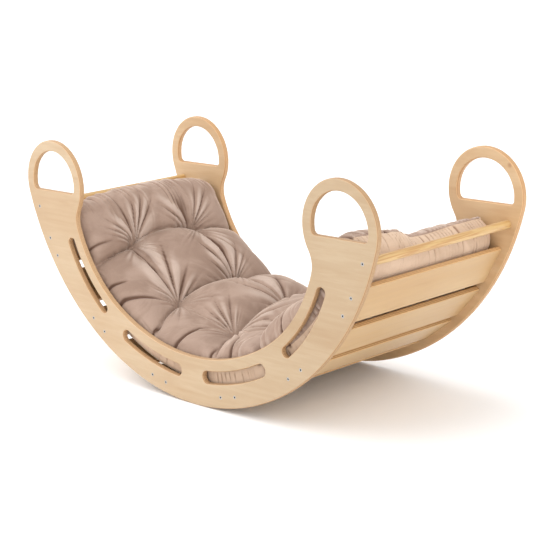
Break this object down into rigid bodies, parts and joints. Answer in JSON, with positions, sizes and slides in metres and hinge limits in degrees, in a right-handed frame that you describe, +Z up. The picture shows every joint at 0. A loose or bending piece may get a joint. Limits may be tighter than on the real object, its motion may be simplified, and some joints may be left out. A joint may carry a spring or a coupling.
{
  "type": "rocking cradle seesaw",
  "caption": "Curved plywood rocker for children with ring handles at its tips, a slatted bed, end rails and a loose tufted mattress.",
  "frame": {"origin": "on the floor under the middle of the rocker, where it touches the floor at rest", "axes": "+X along the rocker, the way it rolls; +Y across it, from the front panel to the back panel; +Z up"},
  "size_m": [0.9722, 0.406, 0.4764],
  "materials": {
    "panel_plywood": "clear matt varnish over birch plywood",
    "slat_plywood": "clear matt varnish over birch plywood",
    "rail_wood": "clear satin varnish over solid pine",
    "dowel_wood": "plain beech",
    "screw_steel": "zinc plated",
    "velvet": "short-pile velvet, taupe",
    "filling": "loose polyester fibre",
    "thread": "waxed thread"
  },
  "bodies": {
    "rocker": {"side_panel_front": "panel_plywood", "side_panel_back": "panel_plywood", "slat_01": "slat_plywood", "slat_02": "slat_plywood", "slat_03": "slat_plywood", "slat_04": "slat_plywood", "slat_05": "slat_plywood", "slat_06": "slat_plywood", "slat_07": "slat_plywood", "slat_08": "slat_plywood", "slat_09": "slat_plywood", "slat_10": "slat_plywood", "slat_11": "slat_plywood", "end_rail_left": "rail_wood", "end_rail_right": "rail_wood", "slat_screws_front": "screw_steel", "slat_screws_back": "screw_steel", "rail_screws_front": "screw_steel", "rail_screws_back": "screw_steel", "dowel_pins_front": "dowel_wood", "dowel_pins_back": "dowel_wood"},
    "mattress": {"mattress_cover": "velvet", "mattress_filling": "filling", "tufting_threads": "thread"}
  },
  "joints": [
    {"name": "mattress_lift", "type": "slide", "parent": "rocker", "child": "mattress", "axis": [0, 0, 1], "range_m": [0, 0.46]}
  ]
}
